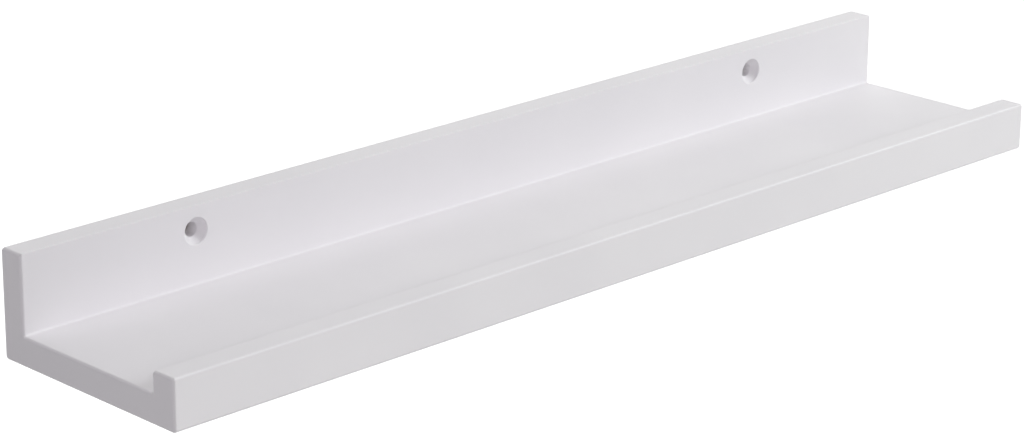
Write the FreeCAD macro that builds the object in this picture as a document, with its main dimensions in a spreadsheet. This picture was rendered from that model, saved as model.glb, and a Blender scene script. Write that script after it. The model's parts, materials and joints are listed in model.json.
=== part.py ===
import FreeCAD, Part
import Sketcher
import os

# Floating picture-ledge shelf: a tall back board, a flat base board and a low front lip,
# glued and dowelled into a J-shaped channel, then eased along its edges and lacquered.
#
# Frame: +X runs along the shelf, +Y points into the wall and +Z is up. The back board's
# wall face is the plane y = 0. The origin lies on it, midway between the two wall screws.

# Driving sizes: alias, value in millimetres unless the note says otherwise, and a note.
SIZES = [
    ("shelf_length", 600, "overall length, left end to right end"),
    ("shelf_depth", 125, "wall face to the front of the lip"),
    ("back_height", 55, "back board, bottom edge to top edge"),
    ("lip_height", 26, "front lip, bottom edge to top edge"),
    ("back_thickness", 15, "thickness of the back board"),
    ("base_thickness", 15, "thickness of the base board"),
    ("lip_thickness", 15, "thickness of the front lip"),
    ("edge_radius", 2, "easing of the long edges at the wall, underneath and behind the lip"),
    ("back_arris_radius", 0.2, "easing of the back board's top edge towards the room"),
    ("lip_arris_radius", 1, "easing of the lip's top edge towards the room"),
    ("end_radius", 1.5, "easing of the edges round both ends"),
    ("rear_cove_radius", 1.2, "filler cove between base board and back board"),
    ("front_cove_radius", 1.2, "filler cove between base board and lip"),
    ("screw_spacing", 395, "distance between the two wall screws"),
    ("screw_drop", 13, "screw centre below the top edge of the back board"),
    ("screw_bore", 7.5, "diameter of the clearance hole for a wall screw"),
    ("screw_mouth", 13.5, "diameter of the countersink at the front face"),
    ("screw_sink_angle", 90, "full angle of the countersink, in degrees"),
    ("screw_recess", 1, "how far the countersink is set below the front face"),
    ("mouth_radius", 0.6, "easing of the countersink's rim"),
    ("dowel_diameter", 6, "diameter of a dowel over its ribs"),
    ("dowel_length", 30, "length of a dowel"),
    ("dowel_chamfer", 0.5, "chamfer on both ends of a dowel"),
    ("dowel_pitch", 128, "distance between neighbouring dowels in a row"),
    ("dowel_end_margin", 40, "least distance from the end of the shelf to a dowel"),
    ("dowel_fit", 0.1, "how much wider a dowel's hole is than the dowel"),
    ("dowel_end_room", 1, "room for glue beyond each end of a dowel"),
    ("dowel_cover", 4, "board left between a dowel's hole and the outer face"),
    ("flute_count", 8, "number of flutes round a dowel, a plain count"),
    ("flute_depth", 0.4, "depth of a flute"),
    ("flute_width", 0.9, "width of a flute at the dowel's surface"),
    ("overrun", 5, "how far cutting bodies reach past what they cut"),
]

# Places that several pieces share, as expressions on the sheet.
BOTTOM = "(sizes.screw_drop - sizes.back_height)"
BASE_TOP = f"({BOTTOM} + sizes.base_thickness)"
BASE_MIDDLE = f"({BOTTOM} + sizes.base_thickness / 2)"
REAR_JOINT = "(-sizes.back_thickness)"
FRONT_JOINT = "(sizes.lip_thickness - sizes.shelf_depth)"
REAR_SEAT = "(sizes.back_thickness - sizes.dowel_cover - sizes.dowel_end_room)"
FRONT_SEAT = "(sizes.lip_thickness - sizes.dowel_cover - sizes.dowel_end_room)"

TOLERANCE = 1e-4  # mm, for telling whether two places are the same


def fill_sheet(doc):
    """Put each driving size into its own cell, with its alias and its note."""
    sheet = doc.addObject("Spreadsheet::Sheet", "sizes")
    for row, (alias, value, note) in enumerate(SIZES, start=1):
        sheet.set(f"A{row}", note)
        sheet.set(f"B{row}", str(value))
        sheet.setAlias(f"B{row}", alias)
    doc.recompute()
    return sheet


def origin_plane(body, role):
    return next(item for item in body.Origin.OriginFeatures if item.Role == role)


def new_sketch(body, name, role, offset=None):
    """Sketch on one of the body's own origin planes, moved along its normal by offset."""
    sketch = body.newObject("Sketcher::SketchObject", name)
    sketch.AttachmentSupport = [(origin_plane(body, role), "")]
    sketch.MapMode = "FlatFace"
    if offset is not None:
        sketch.setExpression(".AttachmentOffset.Base.z", offset)
    return sketch


def bind(sketch, name, expression, kind, *places):
    """Add a dimension to a sketch and drive it by an expression on the sheet."""
    start_value = 1.0
    if kind in ("DistanceX", "DistanceY"):
        first, first_end, second, second_end = places
        gap = sketch.getPoint(second, second_end) - sketch.getPoint(first, first_end)
        start_value = gap.x if kind == "DistanceX" else gap.y
    elif kind == "Diameter":
        start_value = 2 * sketch.Geometry[places[0]].Radius
    index = sketch.addConstraint(Sketcher.Constraint(kind, *places, start_value))
    sketch.renameConstraint(index, name)
    sketch.setExpression(f"Constraints.{name}", expression)


def add_polygon(sketch, corners):
    """Closed outline through the corners; level and upright sides are kept so."""
    count = len(corners)
    for index, (across, up) in enumerate(corners):
        next_across, next_up = corners[(index + 1) % count]
        start = FreeCAD.Vector(across, up, 0)
        end = FreeCAD.Vector(next_across, next_up, 0)
        sketch.addGeometry(Part.LineSegment(start, end))
        if abs(up - next_up) < TOLERANCE:
            sketch.addConstraint(Sketcher.Constraint("Horizontal", index))
        elif abs(across - next_across) < TOLERANCE:
            sketch.addConstraint(Sketcher.Constraint("Vertical", index))
    for index in range(count):
        sketch.addConstraint(Sketcher.Constraint("Coincident", index, 2, (index + 1) % count, 1))


def edge_names(shape, wanted):
    return [f"Edge{n}" for n, edge in enumerate(shape.Edges, start=1) if wanted(edge)]


def long_edges(shape, corners):
    """Edges that run along X through one of the given (y, z) corners."""
    def wanted(edge):
        box = edge.BoundBox
        if box.YLength > TOLERANCE or box.ZLength > TOLERANCE:
            return False
        return any(
            abs(box.YMin - y) < TOLERANCE and abs(box.ZMin - z) < TOLERANCE for y, z in corners
        )
    return edge_names(shape, wanted)


def end_edges(shape):
    """Edges that lie in the two flat ends of the shelf."""
    low, high = shape.BoundBox.XMin, shape.BoundBox.XMax

    def wanted(edge):
        box = edge.BoundBox
        return box.XMax < low + TOLERANCE or box.XMin > high - TOLERANCE
    return edge_names(shape, wanted)


def add_fillet(body, base, name, edges, radius):
    fillet = body.newObject("PartDesign::Fillet", name)
    fillet.Base = (base, edges)
    fillet.setExpression("Radius", radius)
    body.Document.recompute()
    return fillet


def make_channel(doc, sheet):
    """The glued-up shelf as one J-shaped channel, eased and coved, before it is told apart.

    The boards are glued first and eased afterwards, so every rounded edge runs straight
    across the joints. Each board is later taken from this channel between its own joints.
    """
    body = doc.addObject("PartDesign::Body", "channel")
    profile = new_sketch(body, "channel_profile", "YZ_Plane")
    top = sheet.screw_drop
    bottom = top - sheet.back_height
    base_top = bottom + sheet.base_thickness
    lip_top = bottom + sheet.lip_height
    rear_joint = -sheet.back_thickness
    front = -sheet.shelf_depth
    front_joint = front + sheet.lip_thickness
    corners = [
        (0, top),
        (rear_joint, top),
        (rear_joint, base_top),
        (front_joint, base_top),
        (front_joint, lip_top),
        (front, lip_top),
        (front, bottom),
        (0, bottom),
    ]
    add_polygon(profile, corners)
    top_side, rear_wall, floor, lip_wall, lip_side, front_wall, underside = range(7)
    profile.addConstraint(Sketcher.Constraint("PointOnObject", top_side, 1, -2))
    bind(profile, "screw_drop", "sizes.screw_drop", "DistanceY", -1, 1, top_side, 1)
    bind(profile, "back_thickness", "sizes.back_thickness", "DistanceX", top_side, 2, top_side, 1)
    bind(profile, "back_height", "sizes.back_height", "DistanceY", underside, 2, top_side, 1)
    bind(profile, "shelf_depth", "sizes.shelf_depth", "DistanceX", underside, 1, underside, 2)
    bind(profile, "lip_height", "sizes.lip_height", "DistanceY", front_wall, 2, front_wall, 1)
    bind(profile, "lip_thickness", "sizes.lip_thickness", "DistanceX", lip_side, 2, lip_side, 1)
    bind(profile, "base_thickness", "sizes.base_thickness", "DistanceY", underside, 1, floor, 2)

    pad = body.newObject("PartDesign::Pad", "channel_length")
    pad.Profile = profile
    pad.setExpression("Length", "sizes.shelf_length")
    pad.SideType = "Symmetric"
    doc.recompute()

    # The two crisp arrises towards the room are smaller than the easing of the ends, so they
    # come after it and run on round the ends.
    eased_corners = [(0, top), (0, bottom), (front, bottom), (front_joint, lip_top)]
    tip = pad
    for name, picked, radius in (
        ("long_easing", eased_corners, "sizes.edge_radius"),
        ("rear_cove", [(rear_joint, base_top)], "sizes.rear_cove_radius"),
        ("front_cove", [(front_joint, base_top)], "sizes.front_cove_radius"),
        ("end_easing", None, "sizes.end_radius"),
        ("back_arris", [(rear_joint, top)], "sizes.back_arris_radius"),
        ("lip_arris", [(front, lip_top)], "sizes.lip_arris_radius"),
    ):
        shape = tip.Shape
        edges = long_edges(shape, picked) if picked else end_edges(shape)
        tip = add_fillet(body, tip, name, edges, radius)
    return body


def take_from_channel(doc, channel, name, y_range, z_range):
    """The part of the channel inside a box that runs past both ends of the shelf."""
    box = doc.addObject("Part::Box", f"{name}_limits")
    box.setExpression("Length", "sizes.shelf_length + 2 * sizes.overrun")
    box.setExpression("Width", f"{y_range[1]} - {y_range[0]}")
    box.setExpression("Height", f"{z_range[1]} - {z_range[0]}")
    box.setExpression(".Placement.Base.x", "-sizes.shelf_length / 2 - sizes.overrun")
    box.setExpression(".Placement.Base.y", y_range[0])
    box.setExpression(".Placement.Base.z", z_range[0])
    blank = doc.addObject("Part::MultiCommon", f"{name}_blank")
    blank.Shapes = [channel, box]
    doc.recompute()
    return blank


def board_from(doc, blank, name):
    """A body that starts from a blank and takes drilled holes."""
    body = doc.addObject("PartDesign::Body", name)
    body.BaseFeature = blank
    doc.recompute()
    return body


def circle_row(sketch, count, half_span, pitch, drop, diameter):
    """A level row of equal circles, centred on the sketch's middle, drop below its origin."""
    for index in range(count):
        middle = index - (count - 1) / 2
        centre = FreeCAD.Vector(middle * 10, -10, 0)
        sketch.addGeometry(Part.Circle(centre, FreeCAD.Vector(0, 0, 1), 1))
    bind(sketch, "diameter", diameter, "Diameter", 0)
    if count > 1:
        bind(sketch, "half_span", half_span, "DistanceX", 0, 3, -1, 1)
    else:
        sketch.addConstraint(Sketcher.Constraint("PointOnObject", 0, 3, -2))
    for index in range(count):
        if index:
            bind(sketch, f"pitch_{index}", pitch, "DistanceX", index - 1, 3, index, 3)
            sketch.addConstraint(Sketcher.Constraint("Equal", 0, index))
        if drop is None:
            sketch.addConstraint(Sketcher.Constraint("PointOnObject", index, 3, -1))
        else:
            bind(sketch, f"drop_{index}", drop, "DistanceY", index, 3, -1, 1)


def drill(body, sketch, name, diameter, depth, towards_wall):
    """Drill holes at the circles of a sketch, to a depth or right through the board."""
    doc = body.Document
    doc.recompute()
    before = body.Shape.Volume
    hole = body.newObject("PartDesign::Hole", name)
    hole.Profile = sketch
    hole.setExpression("Diameter", diameter)
    hole.DrillPoint = "Flat"
    hole.Reversed = not towards_wall
    if depth is None:
        hole.DepthType = "ThroughAll"
    else:
        hole.DepthType = "Dimension"
        hole.setExpression("Depth", depth)
    doc.recompute()
    if body.Shape.Volume > before - TOLERANCE:
        raise RuntimeError(f"{name} cut nothing from {body.Label}")
    return hole


def drill_dowel_holes(body, name, plane_y, depth, towards_wall, count):
    """The row of blind holes that one side of a dowelled joint needs."""
    sketch = new_sketch(body, f"{name}_places", "XZ_Plane", f"-{plane_y}")
    diameter = "sizes.dowel_diameter + sizes.dowel_fit"
    half_span = f"{count - 1} / 2 * sizes.dowel_pitch"
    circle_row(sketch, count, half_span, "sizes.dowel_pitch", f"-{BASE_MIDDLE}", diameter)
    drill(body, sketch, name, diameter, depth, towards_wall)


def drill_screw_holes(body):
    """Two clearance holes for the wall screws, countersunk a little below the front face."""
    sketch = new_sketch(body, "screw_places", "XZ_Plane", f"-{REAR_JOINT}")
    circle_row(
        sketch, 2, "sizes.screw_spacing / 2", "sizes.screw_spacing", None, "sizes.screw_bore"
    )
    hole = drill(body, sketch, "screw_holes", "sizes.screw_bore", None, True)
    hole.HoleCutType = "Counterdrill"
    hole.setExpression("HoleCutDiameter", "sizes.screw_mouth")
    hole.setExpression("HoleCutDepth", "sizes.screw_recess")
    hole.setExpression("HoleCutCountersinkAngle", "sizes.screw_sink_angle")
    body.Document.recompute()
    mouth = body.Document.sizes.screw_mouth
    front_face = -body.Document.sizes.back_thickness

    def is_rim(edge):
        box = edge.BoundBox
        return (
            edge.Closed
            and abs(box.YMin - front_face) < TOLERANCE
            and box.YLength < TOLERANCE
            and abs(box.XLength - mouth) < TOLERANCE
            and abs(box.ZLength - mouth) < TOLERANCE
        )
    add_fillet(body, hole, "mouth_easing", edge_names(hole.Shape, is_rim), "sizes.mouth_radius")


def make_dowel(doc, name, offset_x, back_end_y):
    """Fluted, chamfered dowel lying along Y, its wall end at back_end_y."""
    body = doc.addObject("PartDesign::Body", name)
    section = new_sketch(body, f"{name}_section", "XZ_Plane")
    section.addGeometry(Part.Circle(FreeCAD.Vector(0, 0, 0), FreeCAD.Vector(0, 0, 1), 1))
    section.addConstraint(Sketcher.Constraint("Coincident", 0, 3, -1, 1))
    bind(section, "diameter", "sizes.dowel_diameter", "Diameter", 0)
    pad = body.newObject("PartDesign::Pad", f"{name}_rod")
    pad.Profile = section
    pad.setExpression("Length", "sizes.dowel_length")
    doc.recompute()

    chamfer = body.newObject("PartDesign::Chamfer", f"{name}_chamfer")
    rims = edge_names(pad.Shape, lambda edge: edge.Closed)
    chamfer.Base = (pad, rims)
    chamfer.setExpression("Size", "sizes.dowel_chamfer")
    doc.recompute()

    groove = new_sketch(body, f"{name}_groove", "XZ_Plane")
    add_polygon(groove, [(-1, 4), (1, 4), (0, 2)])
    outer_side, right_side = 0, 1
    groove.addConstraint(Sketcher.Constraint("PointOnObject", right_side, 2, -2))
    # The V is carried out past the surface at the same slope, to twice its depth and width.
    bind(
        groove, "root_height", "sizes.dowel_diameter / 2 - sizes.flute_depth",
        "DistanceY", -1, 1, right_side, 2,
    )
    bind(groove, "v_height", "2 * sizes.flute_depth", "DistanceY", right_side, 2, outer_side, 2)
    bind(groove, "v_left", "sizes.flute_width", "DistanceX", outer_side, 1, right_side, 2)
    bind(groove, "v_right", "sizes.flute_width", "DistanceX", right_side, 2, outer_side, 2)
    doc.recompute()
    flute = body.newObject("PartDesign::Pocket", f"{name}_flute")
    flute.Profile = groove
    flute.Type = "ThroughAll"
    flute.Reversed = True
    doc.recompute()
    if flute.Shape.Volume > chamfer.Shape.Volume - TOLERANCE:
        raise RuntimeError(f"the flute cut nothing from {name}")

    ring = body.newObject("PartDesign::PolarPattern", f"{name}_flutes")
    ring.Originals = [flute]
    ring.Axis = (origin_plane(body, "Y_Axis"), [""])
    ring.Angle = 360
    ring.setExpression("Occurrences", "sizes.flute_count")
    body.Tip = ring
    body.setExpression(".Placement.Base.x", offset_x)
    body.setExpression(".Placement.Base.y", back_end_y)
    body.setExpression(".Placement.Base.z", BASE_MIDDLE)
    doc.recompute()
    return body


def make_dowel_row(doc, side, joint_y, seat_from_wall, count):
    """One row of dowels across a joint; seat_from_wall is how far they reach past it to +Y."""
    row = []
    for index in range(count):
        offset = f"{index - (count - 1) / 2} * sizes.dowel_pitch"
        name = f"{side}_dowel_{index + 1}"
        row.append(make_dowel(doc, name, offset, f"{joint_y} + {seat_from_wall}"))
    return row


def check(doc, pieces):
    """Stop on any failed object and on any piece that is not one whole solid."""
    for item in doc.Objects:
        if "Invalid" in item.State or "Error" in item.State:
            raise RuntimeError(f"{item.Label} failed: {item.State}")
    for piece in pieces:
        shape = piece.Shape
        if shape.isNull() or not shape.isValid() or len(shape.Solids) != 1:
            raise RuntimeError(f"{piece.Label} is not one valid solid")


def write_steps(pieces):
    os.makedirs("parts", exist_ok=True)
    for piece in pieces:
        piece.Shape.exportStep(os.path.join("parts", f"{piece.Label}.step"))
        print(f"{piece.Label:20s} {piece.Shape.Volume:12.2f} mm3")


def main():
    doc = FreeCAD.newDocument("picture_ledge")
    sheet = fill_sheet(doc)
    room = sheet.shelf_length - 2 * sheet.dowel_end_margin
    dowel_count = int(room // sheet.dowel_pitch) + 1

    channel = make_channel(doc, sheet)
    below = f"({BOTTOM} - sizes.overrun)"
    above = "(sizes.screw_drop + sizes.overrun)"
    ledge_middle = f"(({REAR_JOINT} + {FRONT_JOINT}) / 2)"
    front = "(-sizes.shelf_depth - sizes.overrun)"
    full_height = (below, above)
    above_base = (BASE_TOP, above)
    limits = {
        "back_board": ((REAR_JOINT, "sizes.overrun"), full_height),
        "base_board": ((FRONT_JOINT, REAR_JOINT), (below, BASE_TOP)),
        "front_lip": ((front, FRONT_JOINT), full_height),
        "rear_filler_bead": ((ledge_middle, REAR_JOINT), above_base),
        "front_filler_bead": ((FRONT_JOINT, ledge_middle), above_base),
    }
    boards = {}
    for name, (y_range, z_range) in limits.items():
        blank = take_from_channel(doc, channel, name, y_range, z_range)
        boards[name] = board_from(doc, blank, name)

    end_room = "sizes.dowel_end_room"
    rear_reach = f"(sizes.dowel_length - {REAR_SEAT})"
    front_reach = f"(sizes.dowel_length - {FRONT_SEAT})"
    for name, hole_row, joint_y, seat, towards_wall in (
        ("back_board", "dowel_holes", REAR_JOINT, REAR_SEAT, True),
        ("base_board", "rear_dowel_holes", REAR_JOINT, rear_reach, False),
        ("base_board", "front_dowel_holes", FRONT_JOINT, front_reach, True),
        ("front_lip", "lip_dowel_holes", FRONT_JOINT, FRONT_SEAT, False),
    ):
        depth = f"{seat} + {end_room}"
        drill_dowel_holes(boards[name], hole_row, joint_y, depth, towards_wall, dowel_count)
    drill_screw_holes(boards["back_board"])

    dowels = make_dowel_row(doc, "rear", REAR_JOINT, REAR_SEAT, dowel_count)
    dowels += make_dowel_row(doc, "front", FRONT_JOINT, front_reach, dowel_count)

    pieces = list(boards.values()) + dowels
    doc.recompute()
    check(doc, pieces)
    write_steps(pieces)


main()
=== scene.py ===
"""Floating wall shelf, a J-shaped picture ledge: finishes, stage, lamps and camera.

The frame brings every board, filler bead and dowel in its true shape and place. Metres, with the
origin on the wall face midway between the two wall screws, +X along the shelf, -Y out into the
room and +Z up.
"""
import json
from math import cos, pi, radians, sin

import bpy
from bpy.props import FloatProperty, FloatVectorProperty, PointerProperty
from bpy.types import Operator, Panel, PropertyGroup
from mathutils import Matrix, Vector

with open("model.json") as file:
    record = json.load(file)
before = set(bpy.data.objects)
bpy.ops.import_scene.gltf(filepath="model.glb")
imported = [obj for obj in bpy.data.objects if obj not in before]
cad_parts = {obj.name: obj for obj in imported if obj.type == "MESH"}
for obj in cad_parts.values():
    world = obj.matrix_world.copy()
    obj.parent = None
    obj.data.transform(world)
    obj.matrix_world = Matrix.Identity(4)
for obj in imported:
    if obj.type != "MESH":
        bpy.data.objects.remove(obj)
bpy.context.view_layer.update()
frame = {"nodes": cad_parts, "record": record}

bl_info = {
    "name": "Picture ledge",
    "version": (1, 0, 0),
    "blender": (4, 5, 0),
    "location": "3D View > Sidebar > Ledge",
    "description": "Finishes and stages a lacquered J-shaped picture ledge",
    "category": "Object",
}

MM = 0.001
BOARDS = ("back_board", "base_board", "front_lip")
BEADS = ("rear_filler_bead", "front_filler_bead")
DOWELS = tuple(name for name in frame["nodes"] if "_dowel_" in name)

# The two wall screw holes, read from the record: half their spacing and the bore's radius.
SCREW_DIMS = next(m["dims"] for m in frame["record"]["mounts"] if m["name"] == "wall_screws")
SCREW_X = SCREW_DIMS["spacing_x_mm"] * MM / 2
BORE_RADIUS = SCREW_DIMS["hole_r_mm"] * MM
# The countersink ends and the straight bore starts this far out from the wall face.
BORE_START_Y = 2 * next(m["pos_m"][1] for m in frame["record"]["mounts"]
                        if m["name"] == "wall_screw_left")

# A Mix node has sockets of the same name for each kind of data, so they go by their place: its two
# inputs for numbers, its two for colours, and its output for colours.
NUMBER_A, NUMBER_B = 2, 3
COLOUR_A, COLOUR_B, MIXED_COLOUR = 6, 7, 2


def linear(code):
    """The linear RGBA of an sRGB hex colour: each channel c becomes c / 12.92 below 0.04045, and
    ((c + 0.055) / 1.055) to the power 2.4 above it."""
    channels = [int(code[i:i + 2], 16) / 255 for i in (1, 3, 5)]
    return tuple(c / 12.92 if c <= 0.04045 else ((c + 0.055) / 1.055) ** 2.4
                 for c in channels) + (1.0,)


def add_node(tree, kind, label, values=None, links=None, **settings):
    """Adds one node: settings are its own properties, values its socket values, and links gives
    for a socket the (node, output) pair that feeds it."""
    node = tree.nodes.new(kind)
    node.name = node.label = label
    for key, value in settings.items():
        setattr(node, key, value)
    for socket, value in (values or {}).items():
        node.inputs[socket].default_value = value
    for socket, (source, output) in (links or {}).items():
        tree.links.new(source.outputs[output], node.inputs[socket])
    return node


def new_material(name):
    """An empty node material and its tree."""
    material = bpy.data.materials.new(name)
    material.use_nodes = True
    material.node_tree.nodes.clear()
    return material, material.node_tree


def dress(names, material):
    """Puts the material in every slot of the named nodes."""
    for name in names:
        node = frame["nodes"][name]
        for slot in node.material_slots:
            slot.material = material


# ---------------------------------------------------------------------------- sizes and colours

class LacquerSettings(PropertyGroup):
    """The satin white lacquer over boards and filler."""
    white: FloatVectorProperty(
        name="White", description="The lacquer where it lies at full thickness",
        subtype="COLOR", size=4, min=0, max=1, default=linear("#EDEBED"))
    thin_white: FloatVectorProperty(
        name="Thin white", description="The lacquer where it has pulled a little thinner",
        subtype="COLOR", size=4, min=0, max=1, default=linear("#E8E6E9"))
    smooth_roughness: FloatProperty(
        name="Roughness, smooth", description="Roughness where the lacquer levelled best",
        subtype="FACTOR", min=0, max=1, default=0.42)
    dull_roughness: FloatProperty(
        name="Roughness, dull", description="Roughness where the lacquer dried quickest",
        subtype="FACTOR", min=0, max=1, default=0.48)
    filler_dulling: FloatProperty(
        name="Dulling over filler", description="Added roughness where filler drew the lacquer in",
        subtype="FACTOR", min=0, max=0.5, default=0.12)
    pull: FloatProperty(
        name="Pull", description="Width of the slow thick and thin areas of the spray coat",
        unit="LENGTH", default=55 * MM, min=1 * MM)
    peel: FloatProperty(
        name="Orange peel", description="Width of one dimple of the spray coat's orange peel",
        unit="LENGTH", default=2.6 * MM, min=0.1 * MM)
    peel_depth: FloatProperty(
        name="Orange peel depth", description="Depth of one dimple",
        unit="LENGTH", default=0.004 * MM, min=0, precision=6)


class FibreSettings(PropertyGroup):
    """The unlacquered fibreboard deep in the screw holes, whose darker colour also stands in as
    painted shade deep in the bore.
    """
    fibre: FloatVectorProperty(
        name="Fibre", description="Bare fibreboard and painted bore shade, seen on the wall of the bore",
        subtype="COLOR", size=4, min=0, max=1, default=linear("#A99B8D"))
    dark_fibre: FloatVectorProperty(
        name="Dark fibre", description="The darker bundles in the fibreboard",
        subtype="COLOR", size=4, min=0, max=1, default=linear("#85776B"))
    overspray: FloatProperty(
        name="Overspray", description="How far past the countersink the lacquer reaches",
        unit="LENGTH", default=7.5 * MM, min=0)
    strand: FloatProperty(
        name="Strand", description="Width of one bundle of pressed fibres",
        unit="LENGTH", default=0.5 * MM, min=0.05 * MM)


class BeechSettings(PropertyGroup):
    """The raw beech of the dowels."""
    early: FloatVectorProperty(
        name="Early wood", description="The pale part of a year ring",
        subtype="COLOR", size=4, min=0, max=1, default=linear("#D8B48C"))
    late: FloatVectorProperty(
        name="Late wood", description="The darker edge of a year ring",
        subtype="COLOR", size=4, min=0, max=1, default=linear("#BE9169"))
    fleck: FloatVectorProperty(
        name="Ray fleck", description="The short brown flecks of the wood rays",
        subtype="COLOR", size=4, min=0, max=1, default=linear("#8E6242"))
    ring: FloatProperty(
        name="Ring", description="Width of one year ring",
        unit="LENGTH", default=1.8 * MM, min=0.1 * MM)


class StageSettings(PropertyGroup):
    """Floor, lamps and camera."""
    level: FloatProperty(
        name="Lamp level", description="Multiplies the power of every lamp",
        subtype="FACTOR", min=0, max=4, default=1.0)
    floor_drop: FloatProperty(
        name="Floor drop", description="How far the floor lies below the wall screws",
        unit="LENGTH", default=1.2)
    floor_colour: FloatVectorProperty(
        name="Floor", description="Colour of the plain pale floor",
        subtype="COLOR", size=4, min=0, max=1, default=linear("#E7E7E7"))
    camera_place: FloatVectorProperty(
        name="Camera", description="Where the camera stands",
        subtype="TRANSLATION", unit="LENGTH", precision=5, default=(-1.11006, -1.1613, 0.50436))
    camera_azimuth: FloatProperty(
        name="Azimuth", description="How far the camera stands round to the left of straight on",
        unit="ROTATION", subtype="ANGLE", default=radians(-42.882))
    camera_elevation: FloatProperty(
        name="Elevation", description="How far the camera looks down",
        unit="ROTATION", subtype="ANGLE", default=radians(17.9798))
    camera_roll: FloatProperty(
        name="Roll", description="How far the camera is turned about its own line of sight",
        unit="ROTATION", subtype="ANGLE", default=radians(-0.1748))
    lens: FloatProperty(
        name="Lens", description="Focal length on a 36 mm wide sensor",
        unit="CAMERA", default=114.171)
    shift: FloatVectorProperty(
        name="Shift", description="Sideways and upward shift of the lens, as a share of its width",
        size=2, default=(0.0801, -0.0513))


# ------------------------------------------------------------------------------------ materials

NOISE_LOW, NOISE_HIGH = 0.3, 0.7  # nearly all of a noise texture lies between these
LACQUER_FILM = {"IOR": 1.5, "Specular IOR Level": 0.3}

BORE_SLACK = 0.1 * MM  # how far outside the bore's radius its wall may still be met
SPRAY_FADES_FROM, SPRAY_FADES_TO = 0.8, 1.2  # shares of the spray's reach along the bore
SPRAY_UNEVENNESS = 1.2 * MM  # how much further it reaches on some strands than on others
BARE_ROUGHNESS = 0.9
STRAND_RELIEF = 0.08 * MM

FINGER_WAVE = 24 * MM  # from one wave along a filler bead to the next
FINGER_RELIEF = 0.03 * MM

# How fast year rings and wood rays change along a dowel, as a share of how fast they do across it.
RINGS_ALONG = 0.06
RAYS_ALONG = 0.15
RAY_SPACING = 0.45 * MM
RAY_RELIEF = 0.03 * MM


def lacquer_coat(tree, settings, dulling=0.0):
    """The nodes that boards and filler share. Spray lacquer pulls thicker and thinner over some
    centimetres, which shows as a very slight change of white and of gloss, and it dries with an
    orange peel of shallow dimples, about 1 mm wide on such boards and drawn at 2.6 mm so that it
    shows. Dulling is added to its roughness. Returns the coordinates, the colour, the roughness
    and the relief."""
    place = add_node(tree, "ShaderNodeTexCoord", "Place on the ledge")
    pull = add_node(tree, "ShaderNodeTexNoise", "Lacquer pull",
                    {"Scale": 1 / settings.pull, "Detail": 2.0, "Roughness": 0.45},
                    {"Vector": (place, "Object")})
    white = add_node(tree, "ShaderNodeMix", "Lacquer white",
                     {COLOUR_A: settings.white, COLOUR_B: settings.thin_white},
                     {"Factor": (pull, "Fac")}, data_type="RGBA")
    gloss = add_node(tree, "ShaderNodeMapRange", "Lacquer gloss",
                     {"From Min": NOISE_LOW, "From Max": NOISE_HIGH,
                      "To Min": settings.smooth_roughness + dulling,
                      "To Max": settings.dull_roughness + dulling}, {"Value": (pull, "Fac")})
    dimples = add_node(tree, "ShaderNodeTexNoise", "Orange peel",
                       {"Scale": 1 / settings.peel, "Detail": 1.0, "Roughness": 0.3},
                       {"Vector": (place, "Object")})
    relief = add_node(tree, "ShaderNodeBump", "Orange peel relief",
                      {"Strength": 1.0, "Distance": settings.peel_depth},
                      {"Height": (dimples, "Fac")})
    return place, white, gloss, relief


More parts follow.
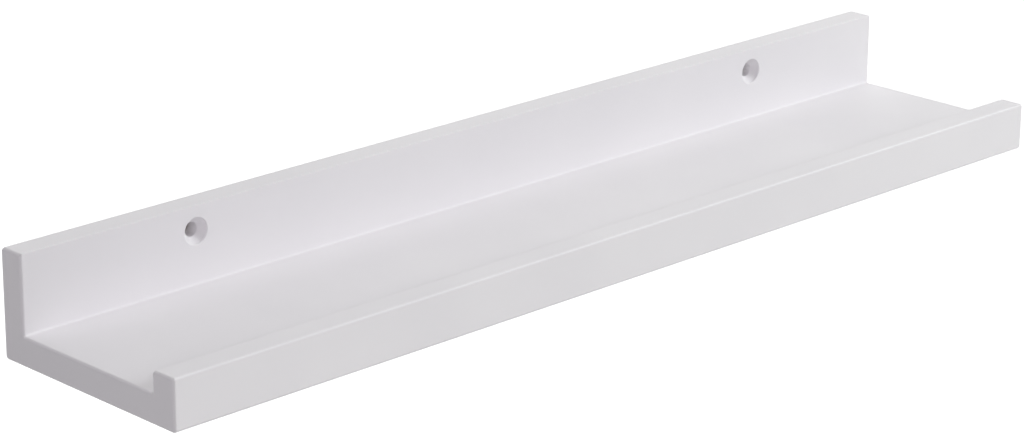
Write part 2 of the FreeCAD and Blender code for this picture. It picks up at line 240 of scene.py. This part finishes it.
def satin_lacquer_on_fibreboard(lacquer, fibre):
    """Medium-density fibreboard sprayed with satin white polyurethane lacquer. The eye gets an
    even, slightly cool white with soft broad highlights. Inside the screw holes the spray covers
    the countersink and most of the bore, and near the wall the unlacquered grey-brown fibreboard
    shows; its darker colour there is partly real board and partly painted shade deep in the bore."""
    material, tree = new_material("Satin white polyurethane lacquer on MDF")
    place, white, gloss, relief = lacquer_coat(tree, lacquer)

    # Distance from the nearer screw hole's axis: the length of (|x| - hole x, 0, z).
    apart = add_node(tree, "ShaderNodeSeparateXYZ", "Apart", None, {"Vector": (place, "Object")})
    side = add_node(tree, "ShaderNodeMath", "Either side", None, {0: (apart, "X")},
                    operation="ABSOLUTE")
    off_axis = add_node(tree, "ShaderNodeMath", "Off the hole axis", {1: SCREW_X},
                        {0: (side, "Value")}, operation="SUBTRACT")
    across = add_node(tree, "ShaderNodeCombineXYZ", "Across the hole", None,
                      {"X": (off_axis, "Value"), "Z": (apart, "Z")})
    reach = add_node(tree, "ShaderNodeVectorMath", "Hole radius", None,
                     {0: (across, "Vector")}, operation="LENGTH")
    in_bore = add_node(tree, "ShaderNodeMath", "In the bore", {1: BORE_RADIUS + BORE_SLACK},
                       {0: (reach, "Value")}, operation="LESS_THAN")

    # The spray thins out along the bore, and unevenly: further in on some strands, less on others.
    strands = add_node(tree, "ShaderNodeTexNoise", "Fibre strands",
                       {"Scale": 1 / fibre.strand, "Detail": 4.0, "Roughness": 0.6},
                       {"Vector": (place, "Object")})
    uneven = add_node(tree, "ShaderNodeMath", "Uneven spray",
                      {1: SPRAY_UNEVENNESS, 2: -SPRAY_UNEVENNESS / 2},
                      {0: (strands, "Fac")}, operation="MULTIPLY_ADD")
    depth = add_node(tree, "ShaderNodeMath", "Depth in the bore", None,
                     {0: (apart, "Y"), 1: (uneven, "Value")}, operation="ADD")
    thinned = add_node(tree, "ShaderNodeMapRange", "Spray thins out",
                       {"From Min": BORE_START_Y + SPRAY_FADES_FROM * fibre.overspray,
                        "From Max": BORE_START_Y + SPRAY_FADES_TO * fibre.overspray},
                       {"Value": (depth, "Value")}, interpolation_type="SMOOTHSTEP")
    # Where the spray stops the bore shows unlacquered fibreboard: a real colour that is also
    # painted shade, darkening the deep bore.
    unlacquered_shaded = add_node(tree, "ShaderNodeMath", "Bare fibreboard and painted bore shade", None,
                    {0: (in_bore, "Value"), 1: (thinned, "Result")}, operation="MULTIPLY")

    # The fibreboard's grey-brown, darker than the lacquer, also serves as painted shade deep in
    # the bore.
    board = add_node(tree, "ShaderNodeMix", "Fibreboard and painted shade colour",
                     {COLOUR_A: fibre.dark_fibre, COLOUR_B: fibre.fibre},
                     {"Factor": (strands, "Fac")}, data_type="RGBA")
    colour = add_node(tree, "ShaderNodeMix", "Lacquer or fibreboard", None,
                      {"Factor": (unlacquered_shaded, "Value"), COLOUR_A: (white, MIXED_COLOUR),
                       COLOUR_B: (board, MIXED_COLOUR)}, data_type="RGBA")
    roughness = add_node(tree, "ShaderNodeMix", "Satin or raw", {NUMBER_B: BARE_ROUGHNESS},
                         {"Factor": (unlacquered_shaded, "Value"), NUMBER_A: (gloss, "Result")},
                         data_type="FLOAT")
    fibre_relief = add_node(tree, "ShaderNodeBump", "Fibre relief", {"Distance": STRAND_RELIEF},
                            {"Strength": (unlacquered_shaded, "Value"), "Height": (strands, "Fac"),
                             "Normal": (relief, "Normal")})
    shader = add_node(tree, "ShaderNodeBsdfPrincipled", "Lacquered board", LACQUER_FILM,
                      {"Base Color": (colour, MIXED_COLOUR), "Roughness": (roughness, "Result"),
                       "Normal": (fibre_relief, "Normal")})
    add_node(tree, "ShaderNodeOutputMaterial", "Output", None, {"Surface": (shader, "BSDF")})
    return material


def satin_lacquer_on_filler(lacquer):
    """Acrylic corner filler under the same coat. The eye gets the boards' own white running round
    the corner without a joint, a little duller because the filler draws the lacquer in, with the
    faint long waves that a finger leaves along the bead."""
    material, tree = new_material("Satin white polyurethane lacquer on acrylic filler")
    place, white, gloss, relief = lacquer_coat(tree, lacquer, lacquer.filler_dulling)
    along = add_node(tree, "ShaderNodeMapping", "Along the bead",
                     {"Scale": (1 / FINGER_WAVE, 0, 0)}, {"Vector": (place, "Object")})
    smoothing = add_node(tree, "ShaderNodeTexNoise", "Finger smoothing",
                         {"Scale": 1.0, "Detail": 1.0, "Roughness": 0.4},
                         {"Vector": (along, "Vector")})
    waves = add_node(tree, "ShaderNodeBump", "Smoothing waves",
                     {"Strength": 1.0, "Distance": FINGER_RELIEF},
                     {"Height": (smoothing, "Fac"), "Normal": (relief, "Normal")})
    shader = add_node(tree, "ShaderNodeBsdfPrincipled", "Lacquered filler", LACQUER_FILM,
                      {"Base Color": (white, MIXED_COLOUR), "Roughness": (gloss, "Result"),
                       "Normal": (waves, "Normal")})
    add_node(tree, "ShaderNodeOutputMaterial", "Output", None, {"Surface": (shader, "BSDF")})
    return material


def raw_beech(beech):
    """Turned and fluted beech, raw, with its grain along the dowel. The eye gets a pale pinkish
    tan with soft year rings, short brown ray flecks and a dry, matt surface."""
    material, tree = new_material("Raw turned beech")
    place = add_node(tree, "ShaderNodeTexCoord", "Place on the ledge")
    grain = add_node(tree, "ShaderNodeMapping", "Grain along the dowel",
                     {"Scale": (1, RINGS_ALONG, 1)}, {"Vector": (place, "Object")})
    # A band wave of scale s repeats every 2 pi / (20 s).
    rings = add_node(tree, "ShaderNodeTexWave", "Year rings",
                     {"Scale": pi / (10 * beech.ring), "Distortion": 2.0, "Detail": 2.0,
                      "Detail Scale": 0.8}, {"Vector": (grain, "Vector")},
                     wave_type="BANDS", bands_direction="DIAGONAL", wave_profile="SAW")
    wood = add_node(tree, "ShaderNodeMix", "Early and late wood",
                    {COLOUR_A: beech.early, COLOUR_B: beech.late},
                    {"Factor": (rings, "Fac")}, data_type="RGBA")
    # Rays show as flecks about 0.3 mm wide and 2 mm long: only the peaks of the pattern.
    ray_place = add_node(tree, "ShaderNodeMapping", "Along the rays",
                         {"Scale": (1, RAYS_ALONG, 1)}, {"Vector": (place, "Object")})
    rays = add_node(tree, "ShaderNodeTexNoise", "Wood rays",
                    {"Scale": 1 / RAY_SPACING, "Detail": 1.0}, {"Vector": (ray_place, "Vector")})
    flecks = add_node(tree, "ShaderNodeMapRange", "Ray flecks",
                      {"From Min": 0.60, "From Max": 0.68, "To Max": 0.7},
                      {"Value": (rays, "Fac")})
    colour = add_node(tree, "ShaderNodeMix", "Beech colour", {COLOUR_B: beech.fleck},
                      {"Factor": (flecks, "Result"), COLOUR_A: (wood, MIXED_COLOUR)},
                      data_type="RGBA")
    roughness = add_node(tree, "ShaderNodeMapRange", "Beech roughness",
                         {"To Min": 0.62, "To Max": 0.74}, {"Value": (rings, "Fac")})
    relief = add_node(tree, "ShaderNodeBump", "Turned grain", {"Distance": RAY_RELIEF},
                      {"Height": (rays, "Fac")})
    shader = add_node(tree, "ShaderNodeBsdfPrincipled", "Beech", {"IOR": 1.45},
                      {"Base Color": (colour, MIXED_COLOUR), "Roughness": (roughness, "Result"),
                       "Normal": (relief, "Normal")})
    add_node(tree, "ShaderNodeOutputMaterial", "Output", None, {"Surface": (shader, "BSDF")})
    return material


# ----------------------------------------------------------------------------------- the stage

# Softboxes of the plain studio light: name, place, side length in metres, watts and colour.
# Each square box is aimed at the middle of the ledge.
SOFTBOXES = (
    ("Key softbox", (2.4, -1.85, 1.08), 1.0, 65.5, "#FCFFFF"),
    ("Overhead softbox", (0.5, -0.2, 1.8), 1.2, 7.4, "#FFFFFB"),
    ("Rear softbox", (1.3, 0.8, 1.2), 1.2, 5.1, "#FFFFFF"),
    ("Back softbox", (0.2, 2.3, 0.15), 1.2, 16.0, "#FFFFFF"),
    ("Left softbox", (-1.5, -1.3, 0.6), 1.2, 7.2, "#FFF6FF"),
    ("Upper left softbox", (-1.4, -0.2, 1.2), 1.2, 4.9, "#FBFAFF"),
    ("Low softbox", (0.5, -1.7, -0.8), 1.2, 3.4, "#FFFEF0"),
)
AMBIENT = 0.15  # what the white surroundings add to the light, as a share of plain white
AIM = Vector((0, -0.06, -0.02))  # the middle of the ledge
SENSOR_WIDTH = 36  # of the camera, in millimetres
FLOOR_HALF = 8.0  # half the floor's side, in metres
# The floor's own glow below the ledge, as a share of plain white, and the distances out in metres
# between which it rises to white.
GLOW_BELOW = 0.30
GLOW_RISES_FROM = 0.8
GLOW_RISES_TO = 2.1


def seen_directly(tree):
    """A node that gives 1 for camera, glossy and transmission rays and 0 for all others."""
    path = add_node(tree, "ShaderNodeLightPath", "Light path")
    camera_or_glossy = add_node(tree, "ShaderNodeMath", "Camera or glossy", None,
                                {0: (path, "Is Camera Ray"), 1: (path, "Is Glossy Ray")},
                                operation="MAXIMUM")
    return add_node(tree, "ShaderNodeMath", "Camera, glossy or transmission", None,
                    {0: (camera_or_glossy, "Value"), 1: (path, "Is Transmission Ray")},
                    operation="MAXIMUM")


def pale_floor(settings):
    """A plain pale matt floor. For the camera and for reflections it glows up to plain white away
    from the ledge, and much less below it, where the lamps light it as well, so that it stays
    under white there and keeps the ledge's soft shadow. From below it is clear."""
    material, tree = new_material("Pale matt floor")
    place = add_node(tree, "ShaderNodeTexCoord", "Place on the floor")
    away = add_node(tree, "ShaderNodeVectorMath", "Distance out", {1: (1, 1, 0)},
                    {0: (place, "Object")}, operation="MULTIPLY")
    distance = add_node(tree, "ShaderNodeVectorMath", "Distance", None,
                        {0: (away, "Vector")}, operation="LENGTH")
    glow = add_node(tree, "ShaderNodeMapRange", "Glow outwards",
                    {"From Min": GLOW_RISES_FROM, "From Max": GLOW_RISES_TO,
                     "To Min": GLOW_BELOW, "To Max": 1.0},
                    {"Value": (distance, "Value")}, interpolation_type="SMOOTHSTEP")
    seen = seen_directly(tree)
    strength = add_node(tree, "ShaderNodeMath", "Glow strength", None,
                        {0: (seen, "Value"), 1: (glow, "Result")}, operation="MULTIPLY")
    shader = add_node(tree, "ShaderNodeBsdfPrincipled", "Floor",
                      {"Base Color": settings.floor_colour, "Roughness": 1.0,
                       "Emission Color": (1, 1, 1, 1)},
                      {"Emission Strength": (strength, "Value")})
    clear = add_node(tree, "ShaderNodeBsdfTransparent", "Clear from below")
    facing = add_node(tree, "ShaderNodeNewGeometry", "Side of the floor")
    mix = add_node(tree, "ShaderNodeMixShader", "Above or below", None,
                   {0: (facing, "Backfacing"), 1: (shader, "BSDF"), 2: (clear, "BSDF")})
    add_node(tree, "ShaderNodeOutputMaterial", "Output", None, {"Surface": (mix, "Shader")})
    return material


def add_lamp(name, place, side, watts, colour, direction):
    """A square area lamp, unseen by the camera, that shines along the direction."""
    lamp = bpy.data.lights.new(name, "AREA")
    lamp.shape = "SQUARE"
    lamp.size = side
    lamp.energy = watts
    lamp.color = linear(colour)[:3]
    lamp_object = bpy.data.objects.new(name, lamp)
    lamp_object.location = place
    lamp_object.rotation_mode = "QUATERNION"
    lamp_object.rotation_quaternion = direction.to_track_quat("-Z", "Y")
    lamp_object.visible_camera = False
    bpy.context.scene.collection.objects.link(lamp_object)


def add_floor(settings):
    """A square floor below the ledge."""
    height = -settings.floor_drop
    corners = [(x * FLOOR_HALF, y * FLOOR_HALF, height)
               for x, y in ((-1, -1), (1, -1), (1, 1), (-1, 1))]
    mesh = bpy.data.meshes.new("floor")
    mesh.from_pydata(corners, [], [(0, 1, 2, 3)])
    mesh.materials.append(pale_floor(settings))
    floor = bpy.data.objects.new("floor", mesh)
    bpy.context.scene.collection.objects.link(floor)


def add_surroundings():
    """The world: plain white where the camera or a reflection looks straight at it, and a faint
    even light from all round besides, which reaches into the screw holes."""
    world = bpy.data.worlds.new("White surroundings")
    world.use_nodes = True
    tree = world.node_tree
    tree.nodes.clear()
    seen = seen_directly(tree)
    level = add_node(tree, "ShaderNodeMath", "Seen or ambient", {1: AMBIENT},
                     {0: (seen, "Value")}, operation="MAXIMUM")
    white = add_node(tree, "ShaderNodeBackground", "White", {"Color": (1, 1, 1, 1)},
                     {"Strength": (level, "Value")})
    add_node(tree, "ShaderNodeOutputWorld", "Output", None, {"Surface": (white, "Background")})
    bpy.context.scene.world = world


def add_camera(settings):
    """The camera. Its line of sight runs against back = (sin a cos e, -cos a cos e, sin e) for the
    azimuth a and the elevation e; right is the level direction at right angles to it, and right
    and up are then turned by the roll."""
    azimuth, elevation = settings.camera_azimuth, settings.camera_elevation
    back = Vector((sin(azimuth) * cos(elevation), -cos(azimuth) * cos(elevation), sin(elevation)))
    right = Vector((0, 0, 1)).cross(back).normalized()
    up = back.cross(right)
    turn = Matrix.Rotation(settings.camera_roll, 3, back)
    right, up = turn @ right, turn @ up
    camera = bpy.data.cameras.new("Camera")
    camera.sensor_width = SENSOR_WIDTH
    camera.lens = settings.lens
    camera.shift_x, camera.shift_y = settings.shift
    camera_object = bpy.data.objects.new("Camera", camera)
    bpy.context.scene.collection.objects.link(camera_object)
    pose = Matrix((right, up, back)).transposed().to_4x4()
    pose.translation = settings.camera_place
    camera_object.matrix_world = pose
    bpy.context.scene.camera = camera_object


# ----------------------------------------------------------------------------------- operators

class LEDGE_OT_lacquer_boards(Operator):
    """Lacquer the back board, the base board and the front lip"""
    bl_idname = "ledge.lacquer_boards"
    bl_label = "Lacquer the boards"

    def execute(self, context):
        scene = context.scene
        dress(BOARDS, satin_lacquer_on_fibreboard(scene.ledge_lacquer, scene.ledge_fibre))
        return {"FINISHED"}


class LEDGE_OT_lacquer_beads(Operator):
    """Lacquer the two filler beads in the corners"""
    bl_idname = "ledge.lacquer_beads"
    bl_label = "Lacquer the filler beads"

    def execute(self, context):
        dress(BEADS, satin_lacquer_on_filler(context.scene.ledge_lacquer))
        return {"FINISHED"}


class LEDGE_OT_beech_dowels(Operator):
    """Give the ten dowels their raw beech"""
    bl_idname = "ledge.beech_dowels"
    bl_label = "Beech for the dowels"

    def execute(self, context):
        dress(DOWELS, raw_beech(context.scene.ledge_beech))
        return {"FINISHED"}


class LEDGE_OT_stage(Operator):
    """Set up the floor, the surroundings, the lamps and the camera"""
    bl_idname = "ledge.stage"
    bl_label = "Set up the stage"

    def execute(self, context):
        settings = context.scene.ledge_stage
        add_floor(settings)
        add_surroundings()
        for name, place, side, watts, colour in SOFTBOXES:
            add_lamp(name, place, side, watts * settings.level, colour, AIM - Vector(place))
        add_camera(settings)
        context.scene.view_settings.view_transform = "Standard"
        return {"FINISHED"}


class LEDGE_PT_sidebar(Panel):
    """Lists the steps and their settings"""
    bl_idname = "LEDGE_PT_sidebar"
    bl_label = "Picture ledge"
    bl_space_type = "VIEW_3D"
    bl_region_type = "UI"
    bl_category = "Ledge"

    def draw(self, context):
        steps = (
            ((LEDGE_OT_lacquer_boards, LEDGE_OT_lacquer_beads), ("ledge_lacquer", "ledge_fibre")),
            ((LEDGE_OT_beech_dowels,), ("ledge_beech",)),
            ((LEDGE_OT_stage,), ("ledge_stage",)),
        )
        for operators, group_names in steps:
            box = self.layout.box()
            for operator in operators:
                box.operator(operator.bl_idname)
            for group_name in group_names:
                group = getattr(context.scene, group_name)
                for prop in group.bl_rna.properties:
                    if prop.identifier not in ("rna_type", "name"):
                        box.prop(group, prop.identifier)


GROUPS = {
    "ledge_lacquer": LacquerSettings,
    "ledge_fibre": FibreSettings,
    "ledge_beech": BeechSettings,
    "ledge_stage": StageSettings,
}
STEPS = (LEDGE_OT_lacquer_boards, LEDGE_OT_lacquer_beads, LEDGE_OT_beech_dowels, LEDGE_OT_stage)


def register():
    for group in GROUPS.values():
        bpy.utils.register_class(group)
    for cls in STEPS + (LEDGE_PT_sidebar,):
        bpy.utils.register_class(cls)
    for name, group in GROUPS.items():
        setattr(bpy.types.Scene, name, PointerProperty(type=group))


def unregister():
    for name in GROUPS:
        delattr(bpy.types.Scene, name)
    for cls in (LEDGE_PT_sidebar,) + STEPS[::-1]:
        bpy.utils.unregister_class(cls)
    for group in reversed(GROUPS.values()):
        bpy.utils.unregister_class(group)


def main():
    register()
    bpy.ops.ledge.lacquer_boards()
    bpy.ops.ledge.lacquer_beads()
    bpy.ops.ledge.beech_dowels()
    bpy.ops.ledge.stage()


if __name__ == "__main__":
    main()
